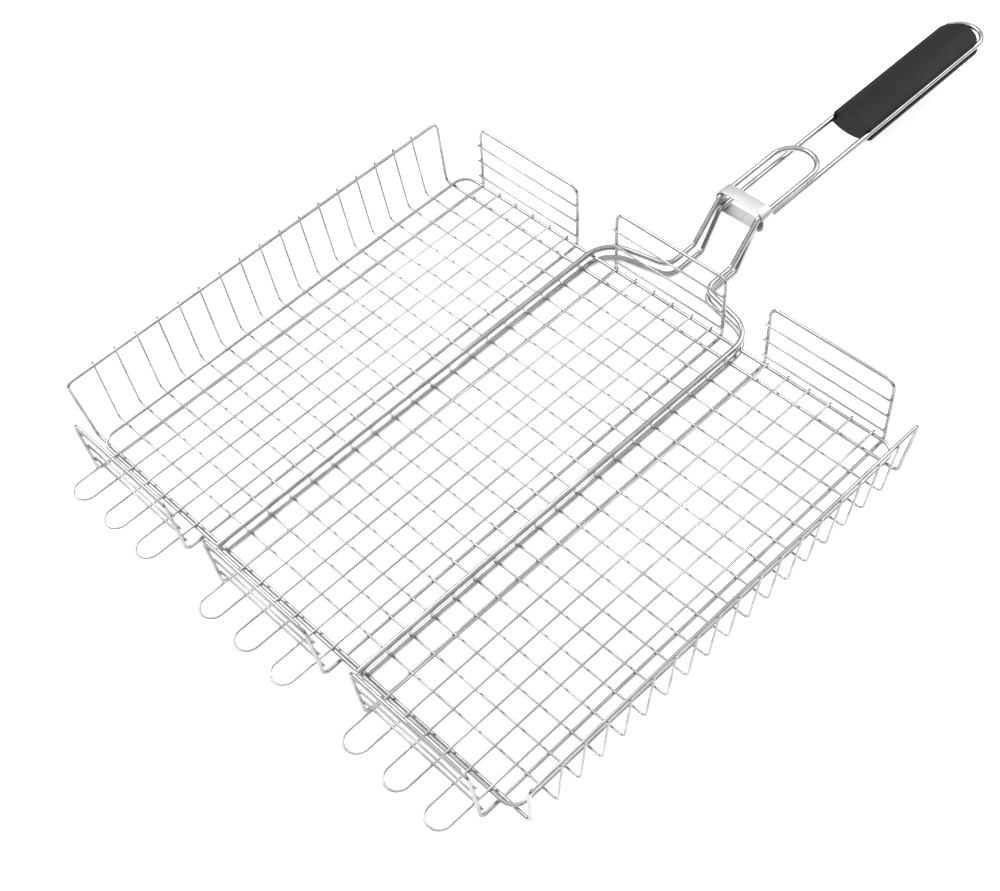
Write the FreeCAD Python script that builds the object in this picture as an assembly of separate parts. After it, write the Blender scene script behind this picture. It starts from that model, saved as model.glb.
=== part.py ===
import FreeCAD, Part
import math
import os
from FreeCAD import Vector

# Folding grill basket: a welded wire basket, a wire lid hooked under its front panels' lowest bars,
# a flat locking ring on the handle and a moulded grip. Millimetres, +Z up, +Y towards the grip.
# Lengths below are measured along Y from the middle of the basket's floor.

# Wire stock
THICK = 4.0      # the two long frame wires that also make the handle
MEDIUM = 2.5     # side-wall loop, panel loops, lid perimeter
THIN = 1.6       # floor cross wires, panel bars, lid hairpins
WELD = 0.1       # how far crossing wires sink into each other at a spot weld
NUB = 0.5        # how far a welded end stands past the wire it is welded to

# Basket
CROSS_COUNT = 17
CROSS_PITCH = 17.0
FLOOR_HALF_WIDTH = 197.0
WALL_SLOPE = 6.9 / 47.2      # outward lean of the side walls
END_CROSS_Y = 154.3          # floor runs of the side-wall loop
END_RAIL_Y = 158.0           # the side rails reach a little past them
WALL_TOP = 51.7
THIRD_PITCH = 127.7          # from one third of the basket to the next
PANEL_HALF_WIDTH = 46.0
PANEL_FOOT_Y = 170.0
PANEL_LEAN = 3.0
PANEL_BAR_HEIGHTS = (12.2, 25.3, 38.4)
FRAME_FRONT_Y = -157.0

# Shoulders, neck and handle
SHOULDER_OUTER_Y = 178.3
SHOULDER_INNER_Y = 188.8
SHOULDER_OUTER_BEND = 22.0
SHOULDER_INNER_BEND = 9.0
NECK_BEND = 5.0
HANDLE_HALF_GAP = 14.65
HANDLE_END_Y = 495.5
HANDLE_Z = 28.0
NECK_FOOT_Y = 220.5
NECK_TOP_Y = 238.5

# Lid
LID_CLEARANCE = 0.5          # above the floor's highest wires
LID_HALF_WIDTH = 186.5
LID_FRONT_Y = -157.3
LID_BACK_Y = 165.0
LID_CORNER_BEND = 10.0
BAR_PITCH = 16.26
PAIRS_PER_THIRD = 3
FINGER_TIP_Y = -194.6
LID_NECK_FOOT_Y = 214.0
LID_NECK_TOP_Y = 240.0
LID_LOOP_HALF_GAP = 16.2
LID_LOOP_END_Y = 310.0
LID_LOOP_LIFT = 8.5          # above the handle wires, which the lid's loop lies over

# Locking ring
RING_LENGTH = 10.0
RING_THICKNESS = 1.2
RING_MIDDLE_Y = 245.0
RING_ROOM = 3.4              # from a wire's centre line to the ring's inner face
RING_INNER_BEND = 6.0

# Grip
GRIP_NEAR_Y = 357.5
GRIP_LENGTH = 128.5
GRIP_UPPER_HALF = 15.0
GRIP_LOWER_HALF = 16.8
GRIP_FAR_BEND = 11.0
GRIP_NEAR_BEND = 1.5
GROOVE_GAP = 0.05
ENTRY_RADIUS = 2.9
ENTRY_DEPTH = 2.5

# Levels that follow from wires lying on each other
FRAME_Z = THICK / 2
PANEL_LOOP_Z = THICK - MEDIUM / 2
CROSS_Z = THICK + THIN / 2 - WELD
END_CROSS_Z = THICK + MEDIUM / 2 - WELD
LID_RIM_Z = END_CROSS_Z + MEDIUM + LID_CLEARANCE
LID_BAR_Z = LID_RIM_Z + MEDIUM / 2 + THIN / 2 - WELD
LID_FRAME_Z = LID_RIM_Z + MEDIUM / 2 + THICK / 2 - WELD
FRAME_HALF_GAP = THIRD_PITCH / 2
WELD_OFFSET = MEDIUM / 2 + THIN / 2 - WELD

# The origin lies under the middle of the whole length, on the rest plane.
ORIGIN_Y = (HANDLE_END_Y + THICK / 2 + FINGER_TIP_Y - THIN / 2) / 2


def bend_points(before, corner, after, radius):
    """Start, middle and end of the arc that rounds a corner of a bent wire."""
    inward = (before - corner).normalize()
    outward = (after - corner).normalize()
    half_turn = (math.pi - inward.getAngle(outward)) / 2
    setback = radius * math.tan(half_turn)
    centre_line = (inward + outward).normalize()
    to_middle = radius / math.cos(half_turn) - radius
    return corner + inward * setback, corner + centre_line * to_middle, corner + outward * setback


def straight_edge(start, end):
    """A straight run, or nothing where two bends meet end to end."""
    if start.distanceToPoint(end) < 0.001:
        return []
    return [Part.LineSegment(start, end).toShape()]


def open_path(corners, bends):
    """A bent wire's centre line between its two ends; bends has one radius per inner corner."""
    edges = []
    position = corners[0]
    for index, radius in enumerate(bends, start=1):
        arc = bend_points(corners[index - 1], corners[index], corners[index + 1], radius)
        edges += straight_edge(position, arc[0])
        edges.append(Part.Arc(*arc).toShape())
        position = arc[2]
    edges += straight_edge(position, corners[-1])
    return edges


def closed_path(corners, bends):
    """A loop's centre line, starting and ending half way along its first side."""
    seam = (corners[0] + corners[-1]) * 0.5
    return open_path([seam] + corners + [seam], bends)


def swept_wire(edges, diameter):
    """Round wire of one diameter along a centre line."""
    start = edges[0].valueAt(edges[0].FirstParameter)
    direction = edges[0].tangentAt(edges[0].FirstParameter)
    section = Part.Wire([Part.makeCircle(diameter / 2, start, direction)])
    return Part.Wire(edges).makePipeShell([section], True, False)


def bent_wire(corners, bends, diameter):
    return swept_wire(open_path(corners, bends), diameter)


def closed_loop(corners, bends, diameter):
    """A loop swept as two halves, joined where the wire's ends are butt welded."""
    edges = closed_path(corners, bends)
    middle = len(edges) // 2
    first_half = swept_wire(edges[:middle], diameter)
    second_half = swept_wire(edges[middle:], diameter)
    return first_half.fuse(second_half).removeSplitter()


def on_both_sides(left_corners):
    """A wire's corners on the left, then their mirror images back down the right."""
    right_corners = [Vector(-corner.x, corner.y, corner.z) for corner in reversed(left_corners)]
    return left_corners + right_corners


def basket_frame_edges():
    """One wire: rail, shoulder, neck and handle on the left, round the grip, and back."""
    left = [
        Vector(-FRAME_HALF_GAP, FRAME_FRONT_Y, FRAME_Z),
        Vector(-FRAME_HALF_GAP, SHOULDER_OUTER_Y, FRAME_Z),
        Vector(-HANDLE_HALF_GAP, SHOULDER_INNER_Y, FRAME_Z),
        Vector(-HANDLE_HALF_GAP, NECK_FOOT_Y, FRAME_Z),
        Vector(-HANDLE_HALF_GAP, NECK_TOP_Y, HANDLE_Z),
        Vector(-HANDLE_HALF_GAP, HANDLE_END_Y, HANDLE_Z),
    ]
    left_bends = [SHOULDER_OUTER_BEND, SHOULDER_INNER_BEND, NECK_BEND, NECK_BEND, HANDLE_HALF_GAP]
    return open_path(on_both_sides(left), left_bends + left_bends[::-1])


def basket_frame():
    return swept_wire(basket_frame_edges(), THICK)


def wall_x(z):
    """Centre line of the side walls' upright wires at a height."""
    return FLOOR_HALF_WIDTH + WALL_SLOPE * (z - CROSS_Z)


def side_wall_loop():
    """Both side rails, the four corner posts and the two end crosses, in one closed loop."""
    foot_x = wall_x(END_CROSS_Z) - WELD_OFFSET
    rail_x = wall_x(WALL_TOP) - WELD_OFFSET
    corners = [
        Vector(foot_x, -END_CROSS_Y, END_CROSS_Z),
        Vector(rail_x, -END_RAIL_Y, WALL_TOP),
        Vector(rail_x, END_RAIL_Y, WALL_TOP),
        Vector(foot_x, END_CROSS_Y, END_CROSS_Z),
        Vector(-foot_x, END_CROSS_Y, END_CROSS_Z),
        Vector(-rail_x, END_RAIL_Y, WALL_TOP),
        Vector(-rail_x, -END_RAIL_Y, WALL_TOP),
        Vector(-foot_x, -END_CROSS_Y, END_CROSS_Z),
    ]
    return closed_loop(corners, [4.5] * len(corners), MEDIUM)


def panel_y(z):
    """Centre line of the end panels' posts at a height, towards the back."""
    return PANEL_FOOT_Y + PANEL_LEAN * (z - PANEL_LOOP_Z) / (WALL_TOP - PANEL_LOOP_Z)


def panel_loop(middle_x):
    """The front panel, the back panel and the two floor rails between them, in one closed loop."""
    left = middle_x - PANEL_HALF_WIDTH
    right = middle_x + PANEL_HALF_WIDTH
    top_y = panel_y(WALL_TOP)
    corners = [
        Vector(right, -top_y, WALL_TOP),
        Vector(right, -PANEL_FOOT_Y, PANEL_LOOP_Z),
        Vector(right, PANEL_FOOT_Y, PANEL_LOOP_Z),
        Vector(right, top_y, WALL_TOP),
        Vector(left, top_y, WALL_TOP),
        Vector(left, PANEL_FOOT_Y, PANEL_LOOP_Z),
        Vector(left, -PANEL_FOOT_Y, PANEL_LOOP_Z),
        Vector(left, -top_y, WALL_TOP),
    ]
    return closed_loop(corners, [6.0, 4.0, 4.0, 6.0, 6.0, 4.0, 4.0, 6.0], MEDIUM)


def panel_bar(middle_x, z, side):
    """A straight bar across the inside of a panel; side is -1 at the front and 1 at the back."""
    half_length = PANEL_HALF_WIDTH + MEDIUM / 2 + NUB
    start = Vector(middle_x - half_length, side * (panel_y(z) - WELD_OFFSET), z)
    return Part.makeCylinder(THIN / 2, 2 * half_length, start, Vector(1, 0, 0))


def floor_cross_wire(y):
    """A floor wire whose ends turn up as the uprights of both side walls."""
    end_z = WALL_TOP + MEDIUM / 2 + NUB
    corners = on_both_sides([Vector(-wall_x(end_z), y, end_z), Vector(-FLOOR_HALF_WIDTH, y, CROSS_Z)])
    return bent_wire(corners, [4.0, 4.0], THIN)


def lid_rim():
    corners = [
        Vector(LID_HALF_WIDTH, LID_FRONT_Y, LID_RIM_Z),
        Vector(LID_HALF_WIDTH, LID_BACK_Y, LID_RIM_Z),
        Vector(-LID_HALF_WIDTH, LID_BACK_Y, LID_RIM_Z),
        Vector(-LID_HALF_WIDTH, LID_FRONT_Y, LID_RIM_Z),
    ]
    return closed_loop(corners, [LID_CORNER_BEND] * 4, MEDIUM)


def lid_hairpin(left_x):
    """Two lid bars in one wire; the bend between them is a finger that hooks under a panel's bar."""
    back_y = LID_BACK_Y + MEDIUM / 2 + NUB
    right_x = left_x + BAR_PITCH
    corners = [
        Vector(left_x, back_y, LID_BAR_Z),
        Vector(left_x, FINGER_TIP_Y, LID_BAR_Z),
        Vector(right_x, FINGER_TIP_Y, LID_BAR_Z),
        Vector(right_x, back_y, LID_BAR_Z),
    ]
    return bent_wire(corners, [BAR_PITCH / 2] * 2, THIN)


def lid_frame():
    """The lid's thick wire: it follows the basket's frame and ends in a loop over the handle."""
    left = [
        Vector(-FRAME_HALF_GAP, LID_FRONT_Y - MEDIUM / 2 - NUB, LID_FRAME_Z),
        Vector(-FRAME_HALF_GAP, SHOULDER_OUTER_Y, LID_FRAME_Z),
        Vector(-LID_LOOP_HALF_GAP, SHOULDER_INNER_Y, LID_FRAME_Z),
        Vector(-LID_LOOP_HALF_GAP, LID_NECK_FOOT_Y, LID_FRAME_Z),
        Vector(-LID_LOOP_HALF_GAP, LID_NECK_TOP_Y, HANDLE_Z + LID_LOOP_LIFT),
        Vector(-LID_LOOP_HALF_GAP, LID_LOOP_END_Y, HANDLE_Z + LID_LOOP_LIFT),
    ]
    left_bends = [SHOULDER_OUTER_BEND, SHOULDER_INNER_BEND, NECK_BEND, NECK_BEND, LID_LOOP_HALF_GAP]
    return bent_wire(on_both_sides(left), left_bends + left_bends[::-1], THICK)


def rounded_outline(half_width, bottom, top, radius, y):
    """A rounded rectangle in an XZ plane, as a face."""
    corners = [
        Vector(half_width, y, bottom),
        Vector(half_width, y, top),
        Vector(-half_width, y, top),
        Vector(-half_width, y, bottom),
    ]
    return Part.Face(Part.Wire(closed_path(corners, [radius] * 4)))


def locking_ring():
    """A flat strip bent round the handle wires and the lid's loop."""
    half_width = LID_LOOP_HALF_GAP + RING_ROOM
    bottom = -RING_ROOM
    top = LID_LOOP_LIFT + RING_ROOM
    front = -RING_LENGTH / 2
    inner = rounded_outline(half_width, bottom, top, RING_INNER_BEND, front)
    outer = rounded_outline(
        half_width + RING_THICKNESS,
        bottom - RING_THICKNESS,
        top + RING_THICKNESS,
        RING_INNER_BEND + RING_THICKNESS,
        front,
    )
    band = outer.cut(inner).extrude(Vector(0, RING_LENGTH, 0))
    band.translate(Vector(0, RING_MIDDLE_Y, HANDLE_Z))
    return band


def grip_section():
    """The grip's cross-section: a crowned top, a ledge under each wire and a rounded belly."""
    top_edge, crown, ledge, lip, belly = 4.0, 7.4, -1.4, -4.4, -8.5
    right_side = [
        Vector(GRIP_LOWER_HALF, 0, lip),
        Vector(GRIP_LOWER_HALF, 0, ledge),
        Vector(GRIP_UPPER_HALF, 0, ledge + 1),
        Vector(GRIP_UPPER_HALF, 0, top_edge),
    ]
    left_side = [Vector(-point.x, 0, point.z) for point in reversed(right_side)]
    edges = []
    for side in (right_side, left_side):
        for start, end in zip(side, side[1:]):
            edges += straight_edge(start, end)
    edges.append(Part.Arc(right_side[-1], Vector(0, 0, crown), left_side[0]).toShape())
    edges.append(Part.Arc(left_side[-1], Vector(0, 0, belly), right_side[0]).toShape())
    return Part.Wire(Part.__sortEdges__(edges))


def grip_plan():
    """The grip's outline from above, a tall block with a rounded far end."""
    half = GRIP_LOWER_HALF + 1
    outline = closed_path(
        [
            Vector(half, 0, -20),
            Vector(half, GRIP_LENGTH, -20),
            Vector(-half, GRIP_LENGTH, -20),
            Vector(-half, 0, -20),
        ],
        [GRIP_NEAR_BEND, GRIP_FAR_BEND, GRIP_FAR_BEND, GRIP_NEAR_BEND],
    )
    return Part.Face(Part.Wire(outline)).extrude(Vector(0, 0, 40))


def grip():
    """The moulded grip, with a groove along each side where the handle wire lies."""
    body = Part.Face(grip_section()).extrude(Vector(0, GRIP_LENGTH, 0)).common(grip_plan())
    for side in (-1, 1):
        entry = Vector(side * HANDLE_HALF_GAP, 0, 0)
        body = body.cut(Part.makeCylinder(ENTRY_RADIUS, ENTRY_DEPTH, entry, Vector(0, 1, 0)))
    body.translate(Vector(0, GRIP_NEAR_Y, HANDLE_Z))
    return body.cut(swept_wire(basket_frame_edges(), THICK + 2 * GROOVE_GAP))


def build_nodes():
    nodes = {
        "basket_frame": basket_frame(),
        "side_wall_loop": side_wall_loop(),
        "lid_rim": lid_rim(),
        "lid_frame": lid_frame(),
        "locking_ring": locking_ring(),
        "grip": grip(),
    }
    for third, third_name in enumerate(("left", "middle", "right")):
        middle_x = (third - 1) * THIRD_PITCH
        nodes["panel_loop_" + third_name] = panel_loop(middle_x)
        for side, side_name in ((-1, "front"), (1, "back")):
            for number, z in enumerate(PANEL_BAR_HEIGHTS, start=1):
                name = "panel_bar_{}_{}_{}".format(side_name, third_name, number)
                nodes[name] = panel_bar(middle_x, z, side)
        for pair in range(PAIRS_PER_THIRD):
            left_x = middle_x + (2 * pair - PAIRS_PER_THIRD + 0.5) * BAR_PITCH
            number = third * PAIRS_PER_THIRD + pair + 1
            nodes["lid_hairpin_{}".format(number)] = lid_hairpin(left_x)
    for index in range(CROSS_COUNT):
        y = (index - (CROSS_COUNT - 1) / 2) * CROSS_PITCH
        nodes["floor_cross_wire_{:02d}".format(index + 1)] = floor_cross_wire(y)
    return nodes


os.makedirs("parts", exist_ok=True)
for node_name, solid in build_nodes().items():
    solid.translate(Vector(0, -ORIGIN_Y, 0))
    solid.exportStep("parts/{}.step".format(node_name))
    print("{:26s} {:10.1f} mm3  valid {}  solids {}".format(
        node_name, solid.Volume, solid.isValid(), len(solid.Solids)))
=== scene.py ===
import math

import bmesh
import bpy
from mathutils import Euler, Matrix, Vector


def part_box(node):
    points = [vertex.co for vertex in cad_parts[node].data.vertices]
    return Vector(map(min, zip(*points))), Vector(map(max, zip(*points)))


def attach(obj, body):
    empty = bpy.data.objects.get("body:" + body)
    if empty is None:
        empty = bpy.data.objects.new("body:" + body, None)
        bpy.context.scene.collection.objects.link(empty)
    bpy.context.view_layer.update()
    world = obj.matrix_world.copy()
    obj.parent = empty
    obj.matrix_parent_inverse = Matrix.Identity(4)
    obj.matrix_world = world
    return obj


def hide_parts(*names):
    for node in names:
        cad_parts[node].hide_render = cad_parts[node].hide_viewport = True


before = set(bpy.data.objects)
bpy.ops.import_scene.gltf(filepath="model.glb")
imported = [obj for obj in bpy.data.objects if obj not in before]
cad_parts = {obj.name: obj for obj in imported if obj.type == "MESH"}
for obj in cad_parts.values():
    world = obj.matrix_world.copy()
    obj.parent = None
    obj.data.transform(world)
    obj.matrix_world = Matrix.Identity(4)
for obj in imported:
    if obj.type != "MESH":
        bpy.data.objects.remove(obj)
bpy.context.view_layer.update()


# ---- The basket's frame wire -------------------------------------------------------------
# One 4 mm steel wire, bent cold and chrome plated. Its two rails carry the floor, sweep together
# at the shoulders, climb the neck and run on as the handle, round the grip and back.

mm = 0.001
thick_wire = 4 * mm
wall_low, wall_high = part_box("side_wall_loop")
floor_middle = (wall_low.y + wall_high.y) / 2
bend_step_degrees = 8
cut_rounding = 0.12


def push_ring(shape, ring, step, squeeze=(1, 1, 1)):
    """Extrudes an open ring of edges by one step, and narrows it about its own middle."""
    grown = bmesh.ops.extrude_edge_only(shape, edges=ring)["geom"]
    points = [part for part in grown if isinstance(part, bmesh.types.BMVert)]
    bmesh.ops.translate(shape, verts=points, vec=step)
    middle = sum((point.co for point in points), Vector()) / len(points)
    bmesh.ops.scale(shape, verts=points, vec=squeeze, space=Matrix.Translation(-middle))
    new_points = set(points)
    edges = {edge for point in points for edge in point.link_edges}
    return [edge for edge in edges if set(edge.verts) <= new_points]


def bend_ring(shape, ring, centre, axis, angle):
    """Spins an open ring of edges round one bend, a few degrees at each step."""
    points = list({point for edge in ring for point in edge.verts})
    steps = max(3, round(math.degrees(angle) / bend_step_degrees))
    spun = bmesh.ops.spin(
        shape, geom=points + ring, cent=centre, axis=axis, angle=angle, steps=steps, dvec=(0, 0, 0),
        use_merge=False, use_duplicate=False)
    return [part for part in spun["geom_last"] if isinstance(part, bmesh.types.BMEdge)]


def form_through(shape, ring, corners, bends):
    """Takes a section through its corners, as a bending machine does: feed, bend, feed, bend."""
    position = corners[0]
    for before, corner, after, bend in zip(corners, corners[1:], corners[2:], bends):
        inward = (corner - before).normalized()
        onward = (after - corner).normalized()
        turn = inward.angle(onward)
        axis = inward.cross(onward).normalized()
        bend_start = corner - inward * bend * math.tan(turn / 2)
        if (bend_start - position).length > 0.01 * mm:
            ring = push_ring(shape, ring, bend_start - position)
        ring = bend_ring(shape, ring, bend_start + axis.cross(inward) * bend, axis, turn)
        position = corner + onward * bend * math.tan(turn / 2)
    return ring, position


def wire_ring(shape, start, towards, thickness, sides):
    """The round section of a wire at its start, facing along its first run."""
    facing = (towards - start).to_track_quat("Z", "Y").to_matrix().to_4x4()
    circle = bmesh.ops.create_circle(
        shape, cap_ends=False, segments=sides, radius=thickness / 2,
        matrix=Matrix.Translation(start) @ facing)
    return list({edge for point in circle["verts"] for edge in point.link_edges})


def cut_end(shape, ring, outward, thickness):
    """A sheared end with the slightly rounded rim that plating leaves."""
    rim = cut_rounding * thickness
    ring = push_ring(shape, ring, outward * rim * 0.6, (0.93,) * 3)
    ring = push_ring(shape, ring, outward * rim * 0.4, (0.8,) * 3)
    bmesh.ops.holes_fill(shape, edges=ring, sides=0)


def open_wire(shape, corners, bends, thickness, sides=16):
    """A bent wire with two cut ends."""
    inset = cut_rounding * thickness
    first_run = (corners[1] - corners[0]).normalized()
    last_run = (corners[-1] - corners[-2]).normalized()
    corners = [corners[0] + first_run * inset, *corners[1:-1], corners[-1] - last_run * inset]
    start_ring = wire_ring(shape, corners[0], corners[1], thickness, sides)
    ring, position = form_through(shape, start_ring, corners, bends)
    ring = push_ring(shape, ring, corners[-1] - position)
    cut_end(shape, start_ring, -first_run, thickness)
    cut_end(shape, ring, last_run, thickness)


def mirrored(left):
    """A wire's corners down the left, then back up the right."""
    return left + [Vector((-corner.x, corner.y, corner.z)) for corner in reversed(left)]


def pattern_group(name, inputs, outputs):
    """An empty shader node group with its named sockets, and its two end nodes."""
    group = bpy.data.node_groups.new(name, "ShaderNodeTree")
    for label, kind in inputs:
        group.interface.new_socket(name=label, in_out="INPUT", socket_type=kind)
    for label, kind in outputs:
        group.interface.new_socket(name=label, in_out="OUTPUT", socket_type=kind)
    return group, group.nodes.new("NodeGroupInput"), group.nodes.new("NodeGroupOutput")


spot_tone = 0.35
spot_relief = 0.4
plate_clouding, given, result = pattern_group(
    "plate_clouding",
    [("Vector", "NodeSocketVector"), ("Bright", "NodeSocketColor"), ("Dull", "NodeSocketColor"),
     ("Smoothest", "NodeSocketFloat"), ("Roughest", "NodeSocketFloat"),
     ("Lines", "NodeSocketVector")],
    [("Color", "NodeSocketColor"), ("Roughness", "NodeSocketFloat"), ("Height", "NodeSocketFloat")])
cloud = plate_clouding.nodes.new("ShaderNodeTexNoise")
cloud.inputs["Scale"].default_value = 60
cloud.inputs["Detail"].default_value = 4
spots = plate_clouding.nodes.new("ShaderNodeTexNoise")
spots.inputs["Scale"].default_value = 900
spots.inputs["Detail"].default_value = 2
stretch = plate_clouding.nodes.new("ShaderNodeVectorMath")
stretch.operation = "MULTIPLY"
die_lines = plate_clouding.nodes.new("ShaderNodeTexNoise")
die_lines.inputs["Scale"].default_value = 1
die_lines.inputs["Detail"].default_value = 3
cloud_mask = plate_clouding.nodes.new("ShaderNodeMapRange")
cloud_mask.inputs["From Min"].default_value = 0.35
cloud_mask.inputs["From Max"].default_value = 0.7
mark_mask = plate_clouding.nodes.new("ShaderNodeMath")
mark_mask.operation = "MULTIPLY_ADD"
mark_mask.inputs[1].default_value = spot_tone
tone = plate_clouding.nodes.new("ShaderNodeMix")
tone.data_type = "RGBA"
rough = plate_clouding.nodes.new("ShaderNodeMapRange")
height = plate_clouding.nodes.new("ShaderNodeMath")
height.operation = "MULTIPLY_ADD"
height.inputs[1].default_value = spot_relief
link = plate_clouding.links.new
link(given.outputs["Vector"], cloud.inputs["Vector"])
link(given.outputs["Vector"], spots.inputs["Vector"])
link(given.outputs["Vector"], stretch.inputs[0])
link(given.outputs["Lines"], stretch.inputs[1])
link(stretch.outputs["Vector"], die_lines.inputs["Vector"])
link(cloud.outputs["Fac"], cloud_mask.inputs["Value"])
link(spots.outputs["Fac"], mark_mask.inputs[0])
link(cloud_mask.outputs["Result"], mark_mask.inputs[2])
link(mark_mask.outputs["Value"], tone.inputs["Factor"])
link(given.outputs["Bright"], tone.inputs["A"])
link(given.outputs["Dull"], tone.inputs["B"])
link(mark_mask.outputs["Value"], rough.inputs["Value"])
link(given.outputs["Smoothest"], rough.inputs["To Min"])
link(given.outputs["Roughest"], rough.inputs["To Max"])
link(spots.outputs["Fac"], height.inputs[0])
link(die_lines.outputs["Fac"], height.inputs[2])
link(tone.outputs["Result"], result.inputs["Color"])
link(rough.outputs["Result"], result.inputs["Roughness"])
link(height.outputs["Value"], result.inputs["Height"])


def plated_finish(name, bright, dull, smoothest, roughest, lines, relief):
    """Plated steel: clouded tone and gloss, with fine marks that run the way lines is short."""
    material = bpy.data.materials.new(name)
    material.use_nodes = True
    nodes = material.node_tree.nodes
    shader = nodes["Principled BSDF"]
    shader.inputs["Metallic"].default_value = 1.0
    place = nodes.new("ShaderNodeTexCoord")
    clouding = nodes.new("ShaderNodeGroup")
    clouding.node_tree = plate_clouding
    clouding.inputs["Bright"].default_value = (*bright, 1)
    clouding.inputs["Dull"].default_value = (*dull, 1)
    clouding.inputs["Smoothest"].default_value = smoothest
    clouding.inputs["Roughest"].default_value = roughest
    clouding.inputs["Lines"].default_value = lines
    bump = nodes.new("ShaderNodeBump")
    bump.inputs["Strength"].default_value = relief
    bump.inputs["Distance"].default_value = 0.05 * mm
    connect = material.node_tree.links.new
    connect(place.outputs["Object"], clouding.inputs["Vector"])
    connect(clouding.outputs["Color"], shader.inputs["Base Color"])
    connect(clouding.outputs["Roughness"], shader.inputs["Roughness"])
    connect(clouding.outputs["Height"], bump.inputs["Height"])
    connect(bump.outputs["Normal"], shader.inputs["Normal"])
    return material


def finished_piece(shape, name, finish, body, nodes):
    """Turns a shape into a piece that stands for its CAD nodes and moves with their body. Edges
    that turn by more than the sharp angle stay crisp."""
    sharp_angle = math.radians(38)
    bmesh.ops.recalc_face_normals(shape, faces=shape.faces)
    mesh = bpy.data.meshes.new(name)
    shape.to_mesh(mesh)
    shape.free()
    mesh.shade_smooth()
    mesh.set_sharp_from_angle(angle=sharp_angle)
    mesh.materials.append(finish)
    piece = bpy.data.objects.new(name, mesh)
    bpy.context.scene.collection.objects.link(piece)
    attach(piece, body)
    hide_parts(*nodes)


lengthwise_lines = (2600, 60, 2600)
thick_chrome = plated_finish(
    "thick_wire_chrome", bright=(0.47, 0.48, 0.48), dull=(0.32, 0.33, 0.33),
    smoothest=0.07, roughest=0.22, lines=lengthwise_lines, relief=0.25)

rail_x = 63.85 * mm
handle_x = 14.65 * mm
rail_z = thick_wire / 2
handle_z = 28 * mm
shoulder_y = floor_middle + 178.3 * mm
neck_y = floor_middle + 188.8 * mm
frame_shape = bmesh.new()
frame_left = [
    Vector((-rail_x, floor_middle - 157 * mm, rail_z)),
    Vector((-rail_x, shoulder_y, rail_z)),
    Vector((-handle_x, neck_y, rail_z)),
    Vector((-handle_x, floor_middle + 220.5 * mm, rail_z)),
    Vector((-handle_x, floor_middle + 238.5 * mm, handle_z)),
    Vector((-handle_x, floor_middle + 495.5 * mm, handle_z)),
]
shoulder_and_neck_bends = [22 * mm, 9 * mm, 5 * mm, 5 * mm]
frame_bends = [*shoulder_and_neck_bends, handle_x, handle_x, *reversed(shoulder_and_neck_bends)]
open_wire(frame_shape, mirrored(frame_left), frame_bends, thick_wire, sides=24)
finished_piece(frame_shape, "frame_wire", thick_chrome, "basket", ["basket_frame"])


# ---- The side-wall wire ------------------------------------------------------------------
# One 2.5 mm wire closed by a butt weld: both side rails, the four corner posts and the two end
# crosses of the floor. The weld's flash stands round the joint as a low collar.

medium_wire = 2.5 * mm
medium_chrome = plated_finish(
    "medium_wire_chrome", bright=(0.49, 0.5, 0.5), dull=(0.34, 0.35, 0.35),
    smoothest=0.1, roughest=0.26, lines=lengthwise_lines, relief=0.25)


def closed_wire(shape, corners, bends, thickness, sides=16):
    """A bent wire whose ends meet in a butt weld, half way along its first side."""
    seam = (corners[0] + corners[-1]) / 2
    run = (corners[0] - seam).normalized()
    flash = 0.45 * thickness
    start_ring = wire_ring(shape, seam + run * flash, corners[0], thickness, sides)
    route = [seam + run * flash, *corners, seam - run * flash]
    ring, position = form_through(shape, start_ring, route, bends)
    ring = push_ring(shape, ring, route[-1] - position)
    ring = push_ring(shape, ring, run * flash * 0.6, (1.05,) * 3)
    ring = push_ring(shape, ring, run * flash * 0.8)
    bmesh.ops.bridge_loops(shape, edges=ring + start_ring)


def spot_weld(shape, at, first, second, width=2.7 * mm, depth=1.5 * mm):
    """The flattened bead where two crossing wires were squeezed together, level with both."""
    across = first.cross(second).normalized()
    facing = across.to_track_quat("Z", "Y").to_matrix().to_4x4()
    bead = Matrix.Translation(at) @ facing @ Matrix.Diagonal((width / 2, width / 2, depth / 2, 1))
    bmesh.ops.create_uvsphere(shape, u_segments=8, v_segments=4, radius=1, matrix=bead)


lengthwise, crosswise, upright = Vector((0, 1, 0)), Vector((1, 0, 0)), Vector((0, 0, 1))
wall_lean = 6.9 / 47.2
wall_top = 51.7 * mm
end_cross_z = 5.15 * mm
foot_x = 195.12 * mm
wall_rail_x = foot_x + wall_lean * (wall_top - end_cross_z)
end_cross_y = 154.3 * mm
side_rail_end = 158 * mm
third_pitch = 2 * rail_x
panel_half = 46 * mm
wall_bend = 4.5 * mm
wide_weld = 3.4 * mm

wall_shape = bmesh.new()
wall_corners = []
for side in (1, -1):
    for x, y, z in (
        (foot_x, -end_cross_y, end_cross_z),
        (wall_rail_x, -side_rail_end, wall_top),
        (wall_rail_x, side_rail_end, wall_top),
        (foot_x, end_cross_y, end_cross_z),
    ):
        wall_corners.append(Vector((side * x, floor_middle + side * y, z)))
closed_wire(wall_shape, wall_corners, [wall_bend] * 8, medium_wire)
floor_rail_x = [
    third * third_pitch + side * panel_half for third in (-1, 0, 1) for side in (-1, 1)]
for y in (floor_middle - end_cross_y, floor_middle + end_cross_y):
    for x in (*floor_rail_x, -rail_x, rail_x):
        spot_weld(wall_shape, Vector((x, y, thick_wire)), lengthwise, crosswise, wide_weld)
finished_piece(
    wall_shape, "wall_wire", medium_chrome, "basket", ["side_wall_loop"])


# ---- The panel wires ---------------------------------------------------------------------
# Three 2.5 mm wires, one for each third. Each is bent to a front panel, a back panel and the two
# rails that join them under the floor, and is closed by a butt weld.

panel_foot_y = 170 * mm
panel_foot_z = thick_wire - medium_wire / 2
panel_lean = 3 * mm / (wall_top - panel_foot_z)


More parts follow.
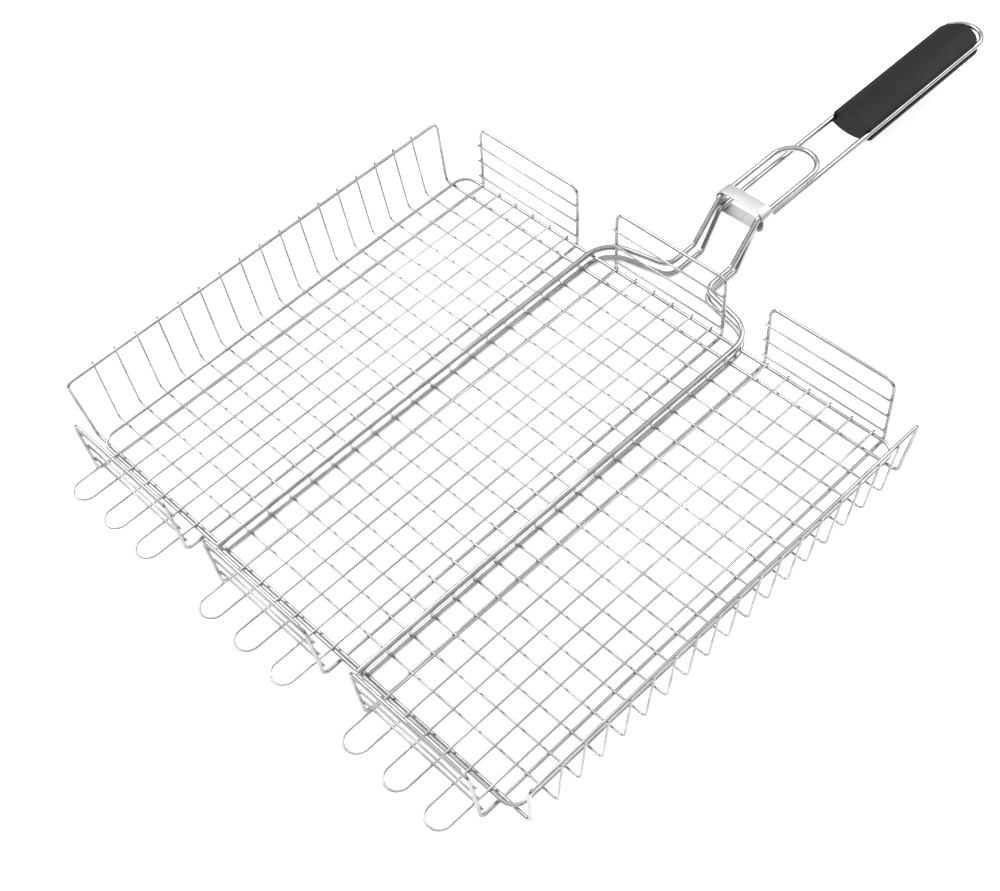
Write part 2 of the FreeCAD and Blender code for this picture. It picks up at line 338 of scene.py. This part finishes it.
def panel_y(z):
    """How far out from the floor's middle a panel's posts stand at a height."""
    return panel_foot_y + panel_lean * (z - panel_foot_z)


for third, third_name in ((-1, "left"), (0, "middle"), (1, "right")):
    panel_shape = bmesh.new()
    panel_corners = []
    for side in (1, -1):
        x = third * third_pitch + side * panel_half
        for y, z in (
            (-panel_y(wall_top), wall_top),
            (-panel_foot_y, panel_foot_z),
            (panel_foot_y, panel_foot_z),
            (panel_y(wall_top), wall_top),
        ):
            panel_corners.append(Vector((x, floor_middle + side * y, z)))
    panel_bends = [6 * mm, 4 * mm, 4 * mm, 6 * mm] * 2
    closed_wire(panel_shape, panel_corners, panel_bends, medium_wire)
    finished_piece(
        panel_shape, "panel_wire_" + third_name, medium_chrome, "basket",
        ["panel_loop_" + third_name])


# ---- The panel bars ----------------------------------------------------------------------
# Eighteen straight 1.6 mm bars, cut to length and spot welded to the inside of the panels'
# posts, three to a panel, each end a little past the post.

thin_wire = 1.6 * mm
thin_cross_chrome = plated_finish(
    "thin_wire_chrome_crosswise", bright=(0.48, 0.49, 0.49), dull=(0.34, 0.35, 0.35),
    smoothest=0.12, roughest=0.3, lines=(60, 2600, 2600), relief=0.3)
weld_sink = 0.1 * mm
weld_offset = (medium_wire + thin_wire) / 2 - weld_sink
end_past_weld = 0.5 * mm
panel_bar_heights = (12.2 * mm, 25.3 * mm, 38.4 * mm)

for third, third_name in ((-1, "left"), (0, "middle"), (1, "right")):
    for side, side_name in ((-1, "front"), (1, "back")):
        for number, z in enumerate(panel_bar_heights, start=1):
            bar_shape = bmesh.new()
            y = floor_middle + side * (panel_y(z) - weld_offset)
            middle = Vector((third * third_pitch, y, z))
            reach = crosswise * (panel_half + medium_wire / 2 + end_past_weld)
            open_wire(bar_shape, [middle - reach, middle + reach], [], thin_wire)
            to_post = lengthwise * side * thin_wire / 2
            for end in (-panel_half, panel_half):
                spot_weld(bar_shape, middle + crosswise * end + to_post, crosswise, upright)
            name = "{}_{}_{}".format(side_name, third_name, number)
            finished_piece(
                bar_shape, "bar_" + name, thin_cross_chrome, "basket",
                ["panel_bar_" + name])


# ---- The floor's cross wires -------------------------------------------------------------
# Seventeen 1.6 mm wires laid over the rails and spot welded to each. Their ends turn up as the
# uprights of both side walls, welded to the outside of the side rails.

cross_wires = 17
cross_pitch = 17 * mm
cross_bend = 4 * mm
cross_z = thick_wire + thin_wire / 2 - weld_sink
floor_half = 197 * mm
upright_end_z = wall_top + medium_wire / 2 + end_past_weld
upright_end_x = floor_half + wall_lean * (upright_end_z - cross_z)

for index in range(cross_wires):
    cross_shape = bmesh.new()
    y = floor_middle + (index - cross_wires // 2) * cross_pitch
    cross_left = [Vector((-upright_end_x, y, upright_end_z)), Vector((-floor_half, y, cross_z))]
    open_wire(cross_shape, mirrored(cross_left), [cross_bend] * 2, thin_wire)
    for x in (*floor_rail_x, -rail_x, rail_x):
        spot_weld(cross_shape, Vector((x, y, thick_wire)), crosswise, lengthwise)
    for side in (-1, 1):
        at_rail = Vector((side * (wall_rail_x + medium_wire / 2), y, wall_top))
        spot_weld(cross_shape, at_rail, upright, lengthwise)
    name = "{:02d}".format(index + 1)
    finished_piece(
        cross_shape, "cross_wire_" + name, thin_cross_chrome, "basket",
        ["floor_cross_wire_" + name])


# ---- The grip ----------------------------------------------------------------------------
# One black moulding of heat-resistant plastic, crowned above and rounded below. The handle wire
# lies in a groove along each side, over a ledge, and goes in at a small recess.

grip_low, grip_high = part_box("grip")
grip_length = grip_high.y - grip_low.y
groove_turn = math.radians(245.7)
ledge_half = 16.8 * mm
upper_half = 15 * mm
crown_radius, belly_radius = 34.8 * mm, 36.5 * mm
crown_height, belly_depth = 7.4 * mm, 8.5 * mm
groove_lip = 2.02 * mm
ledge_top, ledge_foot = -1.4 * mm, -4.4 * mm

grip_shape = bmesh.new()


def drawn_arc(shape, start, centre, angle, steps):
    """Spins one point round a centre in the section's plane; angle is positive anticlockwise from
    the front, and the last point is given back."""
    spun = bmesh.ops.spin(
        shape, geom=[start], cent=centre, axis=(0, -1, 0), angle=angle, steps=steps, dvec=(0, 0, 0),
        use_merge=False, use_duplicate=False)
    return next(part for part in spun["geom_last"] if isinstance(part, bmesh.types.BMVert))


def drawn_to(shape, start, x, z):
    """A straight line of the section to its next corner."""
    corner = shape.verts.new((x, start.co.y, handle_z + z))
    shape.edges.new((start, corner))
    return corner


crown_top = grip_shape.verts.new((0, grip_low.y, handle_z + crown_height))
crown_centre = crown_top.co - upright * crown_radius
crown_edge = drawn_arc(
    grip_shape, crown_top, crown_centre, -math.asin(upper_half / crown_radius), 8)
lip = drawn_to(grip_shape, crown_edge, upper_half, groove_lip)
groove_middle = Vector((handle_x, grip_low.y, handle_z))
groove_end = drawn_arc(grip_shape, lip, groove_middle, groove_turn, 16)
ledge_edge = drawn_to(grip_shape, groove_end, ledge_half, ledge_top)
belly_edge = drawn_to(grip_shape, ledge_edge, ledge_half, ledge_foot)
belly_middle = Vector((0, grip_low.y, handle_z - belly_depth + belly_radius))
drawn_arc(grip_shape, belly_edge, belly_middle, -math.asin(ledge_half / belly_radius), 8)
for corner, softness in ((crown_edge, 1.3), (ledge_edge, 0.5), (belly_edge, 1.2), (lip, 0.15)):
    bmesh.ops.bevel(
        grip_shape, geom=[corner], offset=softness * mm, offset_type="OFFSET", segments=4,
        profile=0.5, affect="VERTICES", material=-1)
bmesh.ops.mirror(
    grip_shape, geom=grip_shape.verts[:] + grip_shape.edges[:], axis="X", merge_dist=0.01 * mm)
bmesh.ops.remove_doubles(grip_shape, verts=grip_shape.verts, dist=0.01 * mm)

section = grip_shape.edges[:]
near_end = section
near_length = 2.55 * mm
far_bend, far_steps = 11 * mm, 12
section = push_ring(grip_shape, section, lengthwise * 0.3 * mm, (1.018, 1, 1.03))
section = push_ring(grip_shape, section, lengthwise * 0.7 * mm, (1.012, 1, 1.02))
section = push_ring(grip_shape, section, lengthwise * 1.5 * mm)
section = push_ring(grip_shape, section, lengthwise * 0.05 * mm)
section = push_ring(grip_shape, section, lengthwise * (grip_length - near_length - far_bend))
outline_half = ledge_half
for step in range(1, far_steps + 1):
    turned = math.radians(90) * step / far_steps
    turned_before = math.radians(90) * (step - 1) / far_steps
    next_half = ledge_half - far_bend + far_bend * math.cos(turned)
    advance = far_bend * (math.sin(turned) - math.sin(turned_before))
    lower = {far_steps - 1: 0.985, far_steps: 0.95}.get(step, 1)
    section = push_ring(
        grip_shape, section, lengthwise * advance, (next_half / outline_half, 1, lower))
    outline_half = next_half
bmesh.ops.holes_fill(grip_shape, edges=near_end, sides=0)
bmesh.ops.holes_fill(grip_shape, edges=section, sides=0)

recess_end = grip_low.y + 2.52 * mm
recess_radius = 2.35 * mm
recess_widening = (1.35, 1, 1.35)
for side in (-1, 1):
    groove = Vector((side * handle_x, 0, handle_z))
    recess = [
        point for point in grip_shape.verts
        if point.co.y < recess_end
        and (point.co - groove - lengthwise * point.co.y).length < recess_radius
    ]
    bmesh.ops.scale(
        grip_shape, verts=recess, vec=recess_widening, space=Matrix.Translation(-groove))

moulded_grain, given, result = pattern_group(
    "moulded_grain",
    [("Vector", "NodeSocketVector"), ("Scale", "NodeSocketFloat"), ("Dark", "NodeSocketColor"),
     ("Worn", "NodeSocketColor")],
    [("Color", "NodeSocketColor"), ("Roughness", "NodeSocketFloat"), ("Height", "NodeSocketFloat")])
grain = moulded_grain.nodes.new("ShaderNodeTexVoronoi")
grain.feature = "SMOOTH_F1"
rubbed = moulded_grain.nodes.new("ShaderNodeTexNoise")
rubbed.inputs["Scale"].default_value = 45
rubbed.inputs["Detail"].default_value = 5
rubbed_mask = moulded_grain.nodes.new("ShaderNodeMapRange")
rubbed_mask.inputs["From Min"].default_value = 0.4
rubbed_mask.inputs["From Max"].default_value = 0.75
shade = moulded_grain.nodes.new("ShaderNodeMix")
shade.data_type = "RGBA"
dullness = moulded_grain.nodes.new("ShaderNodeMapRange")
dullness.inputs["To Min"].default_value = 0.6
dullness.inputs["To Max"].default_value = 0.52
link = moulded_grain.links.new
link(given.outputs["Vector"], grain.inputs["Vector"])
link(given.outputs["Scale"], grain.inputs["Scale"])
link(given.outputs["Vector"], rubbed.inputs["Vector"])
link(rubbed.outputs["Fac"], rubbed_mask.inputs["Value"])
link(rubbed_mask.outputs["Result"], shade.inputs["Factor"])
link(given.outputs["Dark"], shade.inputs["A"])
link(given.outputs["Worn"], shade.inputs["B"])
link(rubbed_mask.outputs["Result"], dullness.inputs["Value"])
link(shade.outputs["Result"], result.inputs["Color"])
link(dullness.outputs["Result"], result.inputs["Roughness"])
link(grain.outputs["Distance"], result.inputs["Height"])

grip_black = bpy.data.materials.new("grip_black_plastic")
grip_black.use_nodes = True
nodes = grip_black.node_tree.nodes
grip_shader = nodes["Principled BSDF"]
place = nodes.new("ShaderNodeTexCoord")
grained = nodes.new("ShaderNodeGroup")
grained.node_tree = moulded_grain
grained.inputs["Scale"].default_value = 1400
grained.inputs["Dark"].default_value = (0.0085, 0.0065, 0.0072, 1)
grained.inputs["Worn"].default_value = (0.012, 0.0095, 0.0103, 1)
grip_shader.inputs["Specular IOR Level"].default_value = 0.2
grain_bump = nodes.new("ShaderNodeBump")
grain_bump.inputs["Strength"].default_value = 0.35
grain_bump.inputs["Distance"].default_value = 0.1 * mm
connect = grip_black.node_tree.links.new
connect(place.outputs["Object"], grained.inputs["Vector"])
connect(grained.outputs["Color"], grip_shader.inputs["Base Color"])
connect(grained.outputs["Roughness"], grip_shader.inputs["Roughness"])
connect(grained.outputs["Height"], grain_bump.inputs["Height"])
connect(grain_bump.outputs["Normal"], grip_shader.inputs["Normal"])
finished_piece(grip_shape, "grip_moulding", grip_black, "basket", ["grip"])


# ---- The lid's rim -----------------------------------------------------------------------
# One 2.5 mm wire bent to a rectangle with rounded corners and closed by a butt weld. It lies
# just over the floor's end crosses when the lid is down, with a little play.

lid_play = 0.5 * mm
rim_bend = 10 * mm
lid_rim_z = end_cross_z + medium_wire + lid_play
lid_half = 186.5 * mm
lid_front = floor_middle - 157.3 * mm
lid_back = floor_middle + 165 * mm
rim_shape = bmesh.new()
rim_corners = [
    Vector((lid_half, lid_front, lid_rim_z)),
    Vector((lid_half, lid_back, lid_rim_z)),
    Vector((-lid_half, lid_back, lid_rim_z)),
    Vector((-lid_half, lid_front, lid_rim_z)),
]
closed_wire(rim_shape, rim_corners, [rim_bend] * 4, medium_wire)
finished_piece(rim_shape, "rim_wire", medium_chrome, "lid", ["lid_rim"])


# ---- The lid's bars and fingers ----------------------------------------------------------
# Nine 1.6 mm wires, each bent to a long hairpin. Its two legs are lid bars, spot welded on top of
# the rim, and its bend is a finger that hooks under the lowest bar of a front panel.

thin_long_chrome = plated_finish(
    "thin_wire_chrome_lengthwise", bright=(0.48, 0.49, 0.49), dull=(0.34, 0.35, 0.35),
    smoothest=0.12, roughest=0.3, lines=lengthwise_lines, relief=0.3)
bar_pitch = 16.26 * mm
bar_z = lid_rim_z + weld_offset
weld_z = lid_rim_z + medium_wire / 2
finger_tip = floor_middle - 194.6 * mm
bar_end = lid_back + medium_wire / 2 + end_past_weld

for number in range(9):
    third, pair = divmod(number, 3)
    left_x = (third - 1) * third_pitch + (2 * pair - 2.5) * bar_pitch
    right_x = left_x + bar_pitch
    hairpin_shape = bmesh.new()
    hairpin_corners = [
        Vector((left_x, bar_end, bar_z)),
        Vector((left_x, finger_tip, bar_z)),
        Vector((right_x, finger_tip, bar_z)),
        Vector((right_x, bar_end, bar_z)),
    ]
    open_wire(hairpin_shape, hairpin_corners, [bar_pitch / 2] * 2, thin_wire)
    for x in (left_x, right_x):
        for y in (lid_front, lid_back):
            spot_weld(hairpin_shape, Vector((x, y, weld_z)), lengthwise, crosswise)
    name = str(number + 1)
    finished_piece(
        hairpin_shape, "finger_wire_" + name, thin_long_chrome, "lid",
        ["lid_hairpin_" + name])


# ---- The lid's frame wire ----------------------------------------------------------------
# One 4 mm wire that stiffens the lid between its thirds. It follows the basket's frame through
# the shoulders and the neck, and ends in a loop that lies over the handle.

loop_x = 16.2 * mm
lid_frame_z = lid_rim_z + (medium_wire + thick_wire) / 2 - weld_sink
loop_z = handle_z + 8.5 * mm
lid_frame_shape = bmesh.new()
lid_frame_left = [
    Vector((-rail_x, lid_front - medium_wire / 2 - end_past_weld, lid_frame_z)),
    Vector((-rail_x, shoulder_y, lid_frame_z)),
    Vector((-loop_x, neck_y, lid_frame_z)),
    Vector((-loop_x, floor_middle + 214 * mm, lid_frame_z)),
    Vector((-loop_x, floor_middle + 240 * mm, loop_z)),
    Vector((-loop_x, floor_middle + 310 * mm, loop_z)),
]
lid_frame_bends = [*shoulder_and_neck_bends, loop_x, loop_x, *reversed(shoulder_and_neck_bends)]
open_wire(lid_frame_shape, mirrored(lid_frame_left), lid_frame_bends, thick_wire, sides=24)
for x in (-rail_x, rail_x):
    for y in (lid_front, lid_back):
        spot_weld(lid_frame_shape, Vector((x, y, weld_z)), lengthwise, crosswise, 4.4 * mm, 2 * mm)
finished_piece(lid_frame_shape, "lid_wire", thick_chrome, "lid", ["lid_frame"])


# ---- The locking ring --------------------------------------------------------------------
# A strip of zinc-plated steel, 10 mm wide and 1.2 mm thick, bent round the handle wires and the
# lid's loop. Its two ends meet under the handle with a fine gap.

ring_low, ring_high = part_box("locking_ring")
strip_thickness = 1.2 * mm
strip_width = ring_high.y - ring_low.y
strip_rounding = 0.35 * mm
strip_bend = 6 * mm + strip_thickness / 2
strip_left, strip_right = ring_low.x + strip_thickness / 2, ring_high.x - strip_thickness / 2
strip_bottom, strip_top = ring_low.z + strip_thickness / 2, ring_high.z - strip_thickness / 2
ring_middle = (ring_low.y + ring_high.y) / 2
half_gap = 0.15 * mm
route = [
    Vector((half_gap, ring_middle, strip_bottom)),
    Vector((strip_right, ring_middle, strip_bottom)),
    Vector((strip_right, ring_middle, strip_top)),
    Vector((strip_left, ring_middle, strip_top)),
    Vector((strip_left, ring_middle, strip_bottom)),
    Vector((-half_gap, ring_middle, strip_bottom)),
]
ring_shape = bmesh.new()
bmesh.ops.create_grid(
    ring_shape, x_segments=1, y_segments=1, size=0.5,
    matrix=Matrix.Translation(route[0])
    @ Matrix.Rotation(math.radians(90), 4, "Y")
    @ Matrix.Diagonal((strip_thickness, strip_width, 1, 1)))
bmesh.ops.bevel(
    ring_shape, geom=ring_shape.verts[:], offset=strip_rounding, offset_type="OFFSET", segments=3,
    profile=0.5, affect="VERTICES", material=-1)
strip_section = ring_shape.edges[:]
strip_end, position = form_through(ring_shape, strip_section, route, [strip_bend] * 4)
strip_end = push_ring(ring_shape, strip_end, route[-1] - position)
bmesh.ops.holes_fill(ring_shape, edges=strip_end, sides=0)
ring_zinc = plated_finish(
    "ring_zinc", bright=(0.66, 0.66, 0.65), dull=(0.52, 0.52, 0.515),
    smoothest=0.34, roughest=0.5, lines=(90, 3200, 90), relief=0.5)
finished_piece(
    ring_shape, "ring_strip", ring_zinc, "locking_ring", ["locking_ring"])


# ---- The table ---------------------------------------------------------------------------
# A plain white acrylic sheet much larger than the basket, lit through from below so that it
# takes next to no shadow, with a faint unevenness of tone.

table_shape = bmesh.new()
bmesh.ops.create_grid(table_shape, x_segments=8, y_segments=8, size=4)
table_mesh = bpy.data.meshes.new("table_top")
table_shape.to_mesh(table_mesh)
table_shape.free()
table_top = bpy.data.objects.new("table_top", table_mesh)
bpy.context.scene.collection.objects.link(table_top)
white_board = bpy.data.materials.new("white_board")
white_board.use_nodes = True
nodes = white_board.node_tree.nodes
board_shader = nodes["Principled BSDF"]
place = nodes.new("ShaderNodeTexCoord")
unevenness = nodes.new("ShaderNodeTexNoise")
unevenness.inputs["Scale"].default_value = 3
board_tone = nodes.new("ShaderNodeMix")
board_tone.data_type = "RGBA"
board_tone.inputs["A"].default_value = (0.9, 0.9, 0.9, 1)
board_tone.inputs["B"].default_value = (0.91, 0.91, 0.91, 1)
board_shader.inputs["Roughness"].default_value = 0.8
board_shader.inputs["Emission Color"].default_value = (1, 1, 1, 1)
board_shader.inputs["Emission Strength"].default_value = 0.5
board_shader.inputs["Specular IOR Level"].default_value = 0.1
connect = white_board.node_tree.links.new
connect(place.outputs["Object"], unevenness.inputs["Vector"])
connect(unevenness.outputs["Fac"], board_tone.inputs["Factor"])
connect(board_tone.outputs["Result"], board_shader.inputs["Base Color"])
table_mesh.materials.append(white_board)


# ---- Light -------------------------------------------------------------------------------
# A bright tent with a dark opening low down all round, which puts the dark lines along the
# chrome, and two large soft boxes, one high on the left and one behind.

scene = bpy.context.scene
scene.view_settings.view_transform = "Standard"
tent = bpy.data.worlds.new("light_tent")
scene.world = tent
tent.use_nodes = True
nodes = tent.node_tree.nodes
tent_light = nodes["Background"]
direction = nodes.new("ShaderNodeTexCoord")
split = nodes.new("ShaderNodeSeparateXYZ")
opening = nodes.new("ShaderNodeValToRGB")
opening.color_ramp.elements[0].position = 0.0
opening.color_ramp.elements[0].color = (0.95, 0.95, 0.95, 1)
opening.color_ramp.elements[1].position = 1.0
opening.color_ramp.elements[1].color = (1.2, 1.2, 1.2, 1)
for position, level in ((0.05, 0.95), (0.09, 0.03), (0.34, 0.03), (0.44, 1.05)):
    stop = opening.color_ramp.elements.new(position)
    stop.color = (level, level, level, 1)
backdrop = nodes.new("ShaderNodeBackground")
backdrop.inputs["Color"].default_value = (1, 1, 1, 1)
seen = nodes.new("ShaderNodeLightPath")
choice = nodes.new("ShaderNodeMixShader")
connect = tent.node_tree.links.new
connect(direction.outputs["Generated"], split.inputs["Vector"])
connect(split.outputs["Z"], opening.inputs["Fac"])
connect(opening.outputs["Color"], tent_light.inputs["Color"])
connect(seen.outputs["Is Camera Ray"], choice.inputs["Fac"])
connect(tent_light.outputs["Background"], choice.inputs[1])
connect(backdrop.outputs["Background"], choice.inputs[2])
connect(choice.outputs["Shader"], nodes["World Output"].inputs["Surface"])

for name, place, turned, size, power in (
    ("left_soft_box", (-1.3, -0.2, 1.6), (0, -38, 0), 1.4, 22),
    ("back_soft_box", (0.3, 1.7, 1.5), (-48, 0, 0), 1.4, 18),
):
    soft_box = bpy.data.lights.new(name, "AREA")
    soft_box.shape = "SQUARE"
    soft_box.size = size
    soft_box.energy = power
    lamp = bpy.data.objects.new(name, soft_box)
    lamp.location = place
    lamp.rotation_euler = Euler([math.radians(angle) for angle in turned])
    scene.collection.objects.link(lamp)


# ---- Camera ------------------------------------------------------------------------------
# It looks down from the front right, a little more than half way between level and straight
# down, through a long lens and with a slight roll.

camera = bpy.data.objects.new("camera", bpy.data.cameras.new("camera"))
camera_place = Vector((0.4964, -0.53298, 0.78664))
camera_turn = Euler([math.radians(angle) for angle in (37.6314, 5.441, 45.9137)])
camera.matrix_world = Matrix.LocRotScale(camera_place, camera_turn, None)
camera.data.lens = 58.56
camera.data.shift_x = 0.0232
camera.data.shift_y = 0.0289
camera.data.clip_start = 0.05
scene.collection.objects.link(camera)
scene.camera = camera
